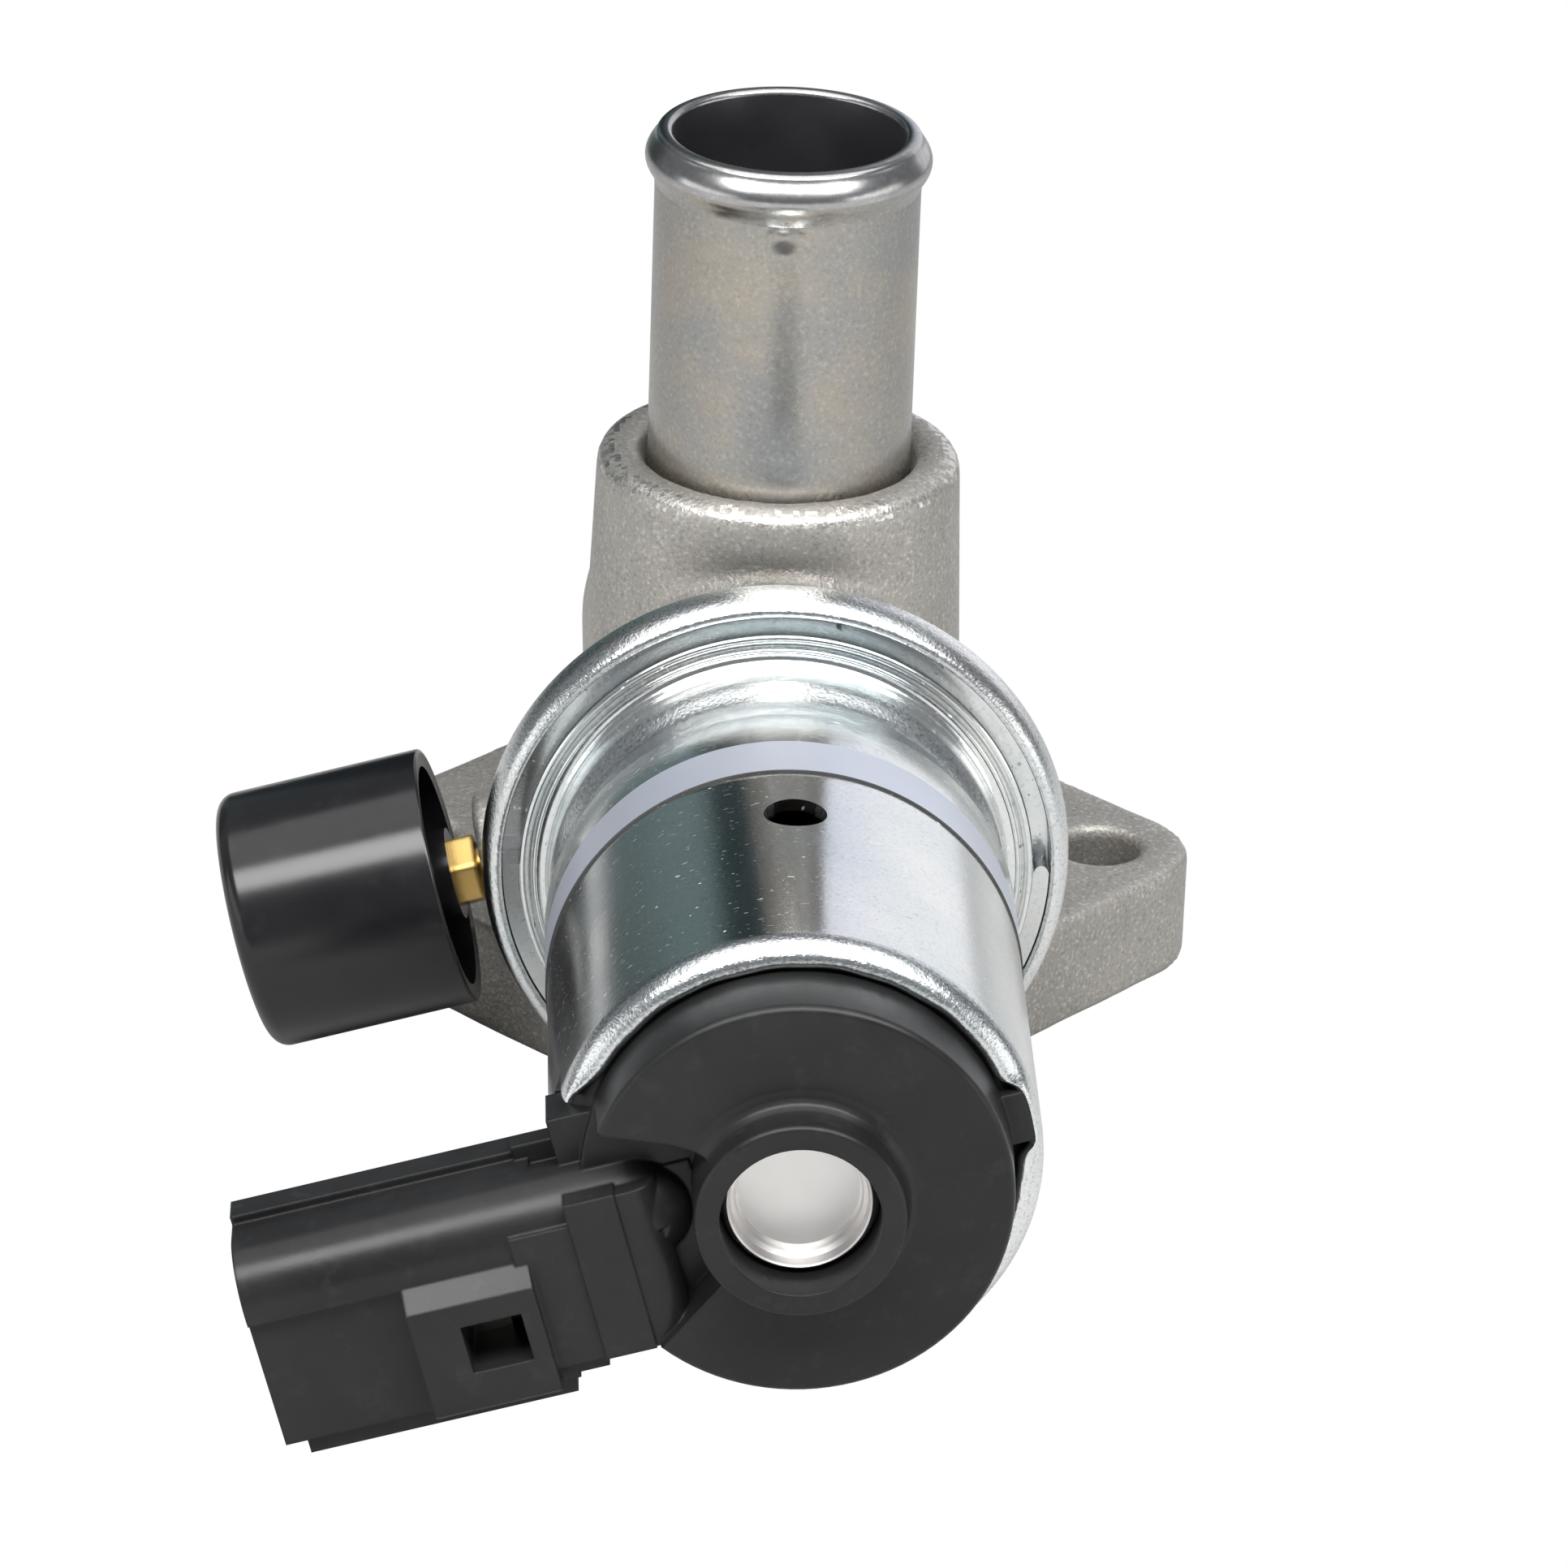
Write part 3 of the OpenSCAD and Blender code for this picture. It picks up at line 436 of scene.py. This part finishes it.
# The clamp ring is a zinc plated strip, rolled round over the flange's edge. It holds the
# solenoid down on the housing's round face.
NOSE_R, RIM_R, ROLL_BACK, ROLL_LEN = 22.95, 24.3, 34.0, 3.1
ROLL_STEPS, STEP = 16, math.radians(6)
ring_profile = (
    [(DISH_R + 0.05, FACE), (DISH_R + 0.2, FACE), (RIM_R - 0.8, ROLL_BACK - 0.6)]
    + [(NOSE_R + (RIM_R - NOSE_R) * math.cos(i * STEP), ROLL_BACK + ROLL_LEN * math.sin(i * STEP))
       for i in range(ROLL_STEPS)]
    + arc(NOSE_R, RIM_FRONT - 0.3, 0.3, 105, 180, 5)
)
fitted(turned("clamp_ring_rolled", ring_profile, on_solenoid), zinc_grain,
       stands_for="clamp_ring")

# The retaining ring is a half circle of flat spring wire, zinc plated, that lies in the
# lower half of the flange's groove.
dressed(zinc, "retaining_ring")

# The magnet's inner parts: pole plate, guide sleeve, bobbin and coil, washer and end seal,
# the fixed core with its adjusting screw, and the armature with the spring behind it. The
# spring is wound steel wire, which shortens by a fifth as the plunger comes forward.
bobbin_nylon = finish("bobbin_nylon", (0.03, 0.03, 0.035), (0.05, 0.05, 0.055), 0.45, bump=0.01)
copper_wire = finish("copper_wire", (0.20, 0.075, 0.05), (0.14, 0.06, 0.045), 0.35, metal=1.0,
                     bump=0.05, bump_scale=2600.0)
dressed(bare_steel, "pole_plate", "yoke_washer", "fixed_core", "armature")
dressed(bronze, "guide_sleeve", "adjusting_screw")
dressed(bobbin_nylon, "coil_bobbin")
dressed(copper_wire, "coil_winding")
dressed(seal_rubber, "end_seal")
spring = fitted(cad_copy("return_spring", "return_spring_wound"), spring_steel,
                stands_for="return_spring")
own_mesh(spring)

# The solenoid's can is drawn steel with the same bright zinc plate. Its end is crimped over
# the cap, and it is cut away where the connector and a small key of the cap come through.
TILT = math.radians(15.7)
CAN_R, CAN_BORE, CRIMP, CRIMP_RUN, LIP_R = 19.0, 18.0, 88.2, 2.18, 17.3
VENT_R, VENT_AT = 2.5, 66.6
SLOT_BACK, SLOT_LOW, SLOT_HIGH, KEY_R, KEY_BACK = 85.8, 11.0, 10.2, 18.36, 87.6


def drawn_can():
    """The can as a closed grid: columns round the axis, rows along its wall's outline. Outside
    r = CAN_R up to the crimp, then r = CAN_R - (CAN_R - lip)(1 - cos a) and s = CRIMP +
    CRIMP_RUN sin a for a from 0 to 90 degrees, and back along the inside. lip is LIP_R where
    the crimp is rolled full, and wider beside the slot and over the key. The cells inside the
    vent hole are left out, and the points round it are moved onto its circle."""
    top, key, connector = math.pi / 2, TILT, math.pi + TILT
    low = connector + math.asin(SLOT_LOW / CAN_R)
    high = connector - math.asin(SLOT_HIGH / CAN_R)

    def away(a, b):
        return np.abs((a - b + np.pi) % (2 * np.pi) - np.pi)

    # Columns: even ones, closer ones at the vent hole, and a pair at each side of the slot
    even = np.linspace(0, 2 * np.pi, 260, endpoint=False)
    close = top + np.radians(np.arange(-10.5, 10.5, 0.55))
    beside_slot = [low - 0.001, low + 0.001, high - 0.001, high + 0.001]
    angles = np.concatenate([even[np.abs(even - top) > math.radians(10.8)], close, beside_slot])
    angles = np.unique(np.round(angles, 6))

    # Stations of the straight wall's rows, closer at the vent hole
    near = np.arange(VENT_AT - 3.3, VENT_AT + 3.31, 0.22)
    wall = np.concatenate([np.linspace(CAN_START + 0.16, near[0], 6)[:-1], near,
                           np.linspace(near[-1], SLOT_BACK, 22)[1:],
                           np.linspace(SLOT_BACK, CRIMP, 6)[1:]])
    bend = np.radians(np.linspace(0, 90, 13)[1:])

    edge_gap = np.minimum(away(angles, low), away(angles, high))
    beside = np.exp(-(np.degrees(edge_gap) / 7.0) ** 2)
    over_key = 1 / (1 + np.exp((np.degrees(away(angles, key)) - 9.5) / 0.9))
    ripple = 0.05 * np.sin(9 * angles + 0.7) + 0.04 * np.sin(23 * angles)
    lip = LIP_R + ripple + np.maximum(1.15 * beside, 1.1 * over_key)
    in_slot = (angles > high) & (angles < low)
    on_key = over_key > 0.5

    rows_r, rows_s = [], []

    def row(r, s):
        rows_r.append(np.broadcast_to(np.asarray(r, float), angles.shape).copy())
        rows_s.append(np.broadcast_to(np.asarray(s, float), angles.shape).copy())

    row(CAN_R - 0.15, CAN_START)
    row(CAN_R - 0.04, CAN_START + 0.05)
    first_out = len(rows_r)
    for s in wall:
        row(CAN_R, s)
    last_out = len(rows_r) - 1
    for a in bend:
        row(CAN_R - (CAN_R - lip) * (1 - math.cos(a)), CRIMP + CRIMP_RUN * math.sin(a))
    row(lip - 0.25, CRIMP + 2.05)
    row(lip - 0.45, CRIMP + 1.75)
    for a in bend[::-1]:
        inner = CAN_BORE - (CAN_BORE - lip + 0.5) * (1 - math.cos(a))
        row(np.maximum(inner, np.where(on_key, KEY_R, 0)), CRIMP + 0.3 + 1.3 * math.sin(a))
    first_in = len(rows_r)
    for s in wall[::-1]:
        row(np.where(on_key & (s > KEY_BACK), KEY_R, CAN_BORE), s)
    last_in = len(rows_r) - 1
    row(CAN_BORE, CAN_START)
    r, s = np.array(rows_r), np.array(rows_s)

    # The slot: whatever lies beyond its back is drawn down onto the cut edge
    t = np.linspace(0, 1, len(r))[:, None]
    beyond = in_slot[None, :] & (s > SLOT_BACK)
    share = np.clip((t - 0.3) / 0.4, 0, 1)
    r = np.where(beyond, CAN_R + (CAN_BORE - CAN_R) * share, r)
    s = np.where(beyond, SLOT_BACK, s)

    # The vent hole: cells inside it go, and the points left on their border move to the circle
    a = np.broadcast_to(angles, r.shape)
    x = r * np.cos(a)
    from_vent = np.hypot(x, s - VENT_AT)
    straight = np.zeros((len(r), 1), bool)
    straight[first_out:last_out + 1] = True
    straight[first_in:last_in + 1] = True
    inside = (from_vent < VENT_R) & (np.sin(a) > 0) & straight
    cell = inside & np.roll(inside, -1, 1)
    cell = cell & np.roll(cell, -1, 0)
    cell[-1] = False

    def corners(cells):
        """The points that have one of the cells beside them."""
        along = cells | np.roll(cells, 1, 0)
        return along | np.roll(along, 1, 1)

    rim = corners(cell) & corners(~cell)
    pull = np.where(rim, VENT_R / np.maximum(from_vent, 1e-6), 1.0)
    x = x * pull
    s = np.where(rim, VENT_AT + (s - VENT_AT) * pull, s)
    z = np.where(rim, np.sqrt(np.maximum(r ** 2 - x ** 2, 0)), r * np.sin(a))
    points = on_solenoid(x, z, s).reshape(-1, 3)

    # Faces of the cells that are left, and the hole's own wall from the outer to the inner skin
    nr, na = r.shape
    i, j = np.nonzero(~cell)
    i2, j2 = (i + 1) % nr, (j + 1) % na
    faces = np.stack([i * na + j, i2 * na + j, i2 * na + j2, i * na + j2], -1).tolist()
    i, j = np.nonzero(cell[first_out:last_out])
    i = i + first_out
    j2 = (j + 1) % na
    for row_p, col_p, row_q, col_q, cut_on in ((i, j, i, j2, cell[i - 1, j]),
                                               (i + 1, j, i + 1, j2, cell[i + 1, j]),
                                               (i, j, i + 1, j, cell[i, j - 1]),
                                               (i, j2, i + 1, j2, cell[i, j2])):
        under_p, under_q = first_in + last_out - row_p, first_in + last_out - row_q
        quads = np.stack([row_p * na + col_p, row_q * na + col_q,
                          under_q * na + col_q, under_p * na + col_p], -1)
        faces += quads[~cut_on].tolist()
    mesh = bpy.data.meshes.new("can_drawn")
    mesh.from_pydata(points.tolist(), [], faces)
    obj = bpy.data.objects.new("can_drawn", mesh)
    bpy.context.scene.collection.objects.link(obj)
    return smoothed(obj, 40)


can = fitted(drawn_can(), zinc, stands_for="solenoid_can")
can.data.materials.append(zinc_grain)
for face in can.data.polygons:
    if -face.center[1] / MM > CRIMP + 0.1:
        face.material_index = 1

# The end cap and the connector are one black nylon moulding, dull and lightly rubbed, with
# its edges a little round. Two tinned blades are moulded into the connector's socket.
black = finish("black_moulding", (0.012, 0.012, 0.0125), (0.018, 0.018, 0.0185), 0.31,
               spread=90.0, bump=0.008, bump_scale=3000.0, edge=0.35,
               wear=(420.0, (0.05, 0.05, 0.05), 0.25), specular=0.32)
tinned_brass = finish("tinned_brass", (0.66, 0.63, 0.55), (0.56, 0.54, 0.48), 0.25, metal=1.0,
                      bump=0.003)
dressed(black, "end_cap")
dressed(tinned_brass, "terminal_upper", "terminal_lower")

# The core plug is a bright cup, pressed from thin steel. It closes the bore in the cap's
# raised ring.
plug_steel = finish("plug_steel", (0.87, 0.85, 0.83), (0.82, 0.80, 0.79), 0.4, metal=1.0, bump=0.003)
dressed(plug_steel, "core_plug")

# The side fitting is turned brass, screwed into the port boss, and a black moulded cap is
# pushed over it.
MOUTH_S, CUP_R, CUP_LEN, CUP_WALL = 28.0, 10.9, 17.6, 1.5
STEM_R, SOCKET_R, SOCKET_DEPTH = 3.9, 2.25, 6.55
PORT_Y, PORT_Z = -25.0, AXIS_Z + 1.0
cup_end = MOUTH_S + CUP_LEN


def on_port(x, y, s):
    """About the side port's axis, s being the distance out from the housing's middle."""
    c, d = math.cos(TILT), math.sin(TILT)
    return np.stack([-s * c - y * d, PORT_Y - x, PORT_Z - s * d + y * c], -1) * MM


brass = finish("brass", (0.80, 0.55, 0.19), (0.68, 0.46, 0.16), 0.16, metal=1.0, bump=0.004, edge=0.7)
gloss = finish("black_cap", (0.006, 0.006, 0.007), (0.011, 0.011, 0.012), 0.2, spread=90.0,
               bump=0.004, bump_scale=900.0, wear=(300.0, (0.03, 0.03, 0.03), 0.3))
dressed(brass, "side_fitting")
cup_profile = (
    [(SOCKET_R, MOUTH_S - 0.6), (STEM_R, MOUTH_S - 0.6), (STEM_R, cup_end - CUP_WALL)]
    + [(CUP_R - CUP_WALL, cup_end - CUP_WALL), (CUP_R - CUP_WALL, MOUTH_S + 0.15)]
    + arc(CUP_R - 0.3, MOUTH_S + 0.3, 0.3, 250, 360, 5)
    + arc(CUP_R - 1.5, cup_end - 1.5, 1.5, 0, 90, 12)
    + [(0.0, cup_end), (0.0, MOUTH_S + SOCKET_DEPTH), (SOCKET_R, MOUTH_S + SOCKET_DEPTH)]
)
fitted(turned("port_cap_moulded", cup_profile, on_port), gloss, stands_for="port_cap")

# The floor is plain grey card that shows white to the camera. Soft lamps and an upright
# sheet with dark and pale bands stand round it, for the bright metal to mirror.


def white_to_camera(tree, kind, lit, end):
    """Shows plain white to the camera's own rays, and the lit shader to all others."""
    seen = tree.nodes.new(kind)
    seen.inputs["Color"].default_value = (1, 1, 1, 1)
    seen.inputs["Strength"].default_value = 1.0
    path = tree.nodes.new("ShaderNodeLightPath")
    pick = tree.nodes.new("ShaderNodeMixShader")
    tree.links.new(path.outputs["Is Camera Ray"], pick.inputs[0])
    tree.links.new(lit.outputs[0], pick.inputs[1])
    tree.links.new(seen.outputs[0], pick.inputs[2])
    tree.links.new(pick.outputs[0], end.inputs["Surface"])


def flat(name, corners, material):
    """One four-sided sheet between corners given in metres."""
    mesh = bpy.data.meshes.new(name)
    mesh.from_pydata(corners, [], [(0, 1, 2, 3)])
    mesh.materials.append(material)
    obj = bpy.data.objects.new(name, mesh)
    bpy.context.scene.collection.objects.link(obj)
    return obj


card = bpy.data.materials.new("floor_white")
card.use_nodes = True
card_bsdf = card.node_tree.nodes["Principled BSDF"]
card_bsdf.inputs["Base Color"].default_value = (0.44, 0.44, 0.435, 1)
card_bsdf.inputs["Roughness"].default_value = 0.9
white_to_camera(card.node_tree, "ShaderNodeEmission", card_bsdf, card.node_tree.nodes["Material Output"])
flat("floor", [(-3, -3, 0), (3, -3, 0), (3, 3, 0), (-3, 3, 0)], card)


def backdrop(y, half, height, stops):
    """An upright sheet behind the object that only mirrors show. Its light runs from stop to
    stop (x in metres, colour) across it."""
    mat = bpy.data.materials.new("backdrop")
    mat.use_nodes = True
    tree = mat.node_tree
    bsdf = tree.nodes["Principled BSDF"]
    bsdf.inputs["Base Color"].default_value = (0, 0, 0, 1)
    bsdf.inputs["Specular IOR Level"].default_value = 0.0
    bsdf.inputs["Emission Strength"].default_value = 1.0
    place = tree.nodes.new("ShaderNodeTexCoord")
    split = tree.nodes.new("ShaderNodeSeparateXYZ")
    across = tree.nodes.new("ShaderNodeMapRange")
    across.inputs["From Min"].default_value = -half
    across.inputs["From Max"].default_value = half
    ramp = tree.nodes.new("ShaderNodeValToRGB")
    for i, (x, colour) in enumerate(stops):
        mark = ramp.color_ramp.elements[i] if i < 2 else ramp.color_ramp.elements.new(1.0)
        mark.position = (x + half) / (2 * half)
        mark.color = (*colour, 1)
    tree.links.new(place.outputs["Object"], split.inputs[0])
    tree.links.new(split.outputs["X"], across.inputs["Value"])
    tree.links.new(across.outputs["Result"], ramp.inputs["Fac"])
    tree.links.new(ramp.outputs["Color"], bsdf.inputs["Emission Color"])
    obj = flat("backdrop", [(-half, y, 0), (half, y, 0), (half, y, height), (-half, y, height)], mat)
    obj.visible_camera = False
    obj.visible_diffuse = False
    obj.visible_shadow = False


DUSK, TEAL, DEEP, GREY = (0.05, 0.06, 0.06), (0.13, 0.175, 0.18), (0.008, 0.020, 0.022), (0.10, 0.12, 0.13)
PALE, LIGHT, BRIGHT = (0.74, 0.76, 0.85), (0.88, 0.89, 0.98), (0.97, 0.97, 1.0)
backdrop(0.55, 0.7, 0.46, [(-0.34, DUSK), (-0.285, TEAL), (-0.19, TEAL), (-0.165, DEEP), (-0.03, DEEP),
                           (-0.015, GREY), (0.062, GREY), (0.08, PALE), (0.16, LIGHT), (0.23, BRIGHT)])

world = bpy.data.worlds.new("studio")
bpy.context.scene.world = world
world.use_nodes = True
room = world.node_tree.nodes["Background"]
room.inputs["Color"].default_value = (0.92, 0.95, 1.0, 1)
room.inputs["Strength"].default_value = 0.2
white_to_camera(world.node_tree, "ShaderNodeBackground", room, world.node_tree.nodes["World Output"])


def lamp(name, where, size, power, turn=0.0):
    """A soft rectangular lamp at a point in metres. It shines straight down, or level to one
    side when turned by a quarter."""
    data = bpy.data.lights.new(name, "AREA")
    data.shape = "RECTANGLE"
    data.size, data.size_y = size
    data.energy = power
    obj = bpy.data.objects.new(name, data)
    bpy.context.scene.collection.objects.link(obj)
    obj.location = where
    obj.rotation_euler = (0.0, math.radians(turn), 0.0)


lamp("lamp_front", (0.0, -0.43, 0.67), (1.2, 0.32), 13.0)
lamp("lamp_top", (0.0, 0.03, 0.70), (1.2, 0.44), 2.6)
lamp("lamp_left", (-0.8, -0.4, 0.15), (0.26, 0.9), 0.9, turn=-90)
lamp("lamp_right", (0.8, -0.4, 0.15), (0.26, 0.9), 1.0, turn=90)

# The camera stands where the object's outlines fall on the photograph's. Its angles are in
# degrees, its place in metres, and its focal length in widths of a photograph's pixel.
AZIMUTH, ELEVATION, ROLL = -2.611, 24.666, 2.030
EYE = (-0.027193, -0.641540, 0.310430)
FOCAL_PX, PHOTO_PX, SENSOR = 9999.841, 1932, 36.0
az, el, roll = math.radians(AZIMUTH), math.radians(ELEVATION), math.radians(ROLL)
forward = np.array([math.sin(-az) * math.cos(el), math.cos(az) * math.cos(el), -math.sin(el)])
level = np.cross(forward, [0, 0, 1.0])
level /= np.linalg.norm(level)
upright = np.cross(level, forward)
right = math.cos(roll) * level + math.sin(roll) * upright
up = -math.sin(roll) * level + math.cos(roll) * upright
lens = bpy.data.cameras.new("photo_camera")
lens.sensor_width = SENSOR
lens.lens = FOCAL_PX / PHOTO_PX * SENSOR
lens.clip_start = 0.01
lens.clip_end = 20.0
camera = bpy.data.objects.new("photo_camera", lens)
bpy.context.scene.collection.objects.link(camera)
stand = Matrix([(right[i], up[i], -forward[i]) for i in range(3)]).to_4x4()
stand.translation = EYE
camera.matrix_world = stand
bpy.context.scene.camera = camera
bpy.context.scene.view_settings.view_transform = "Standard"
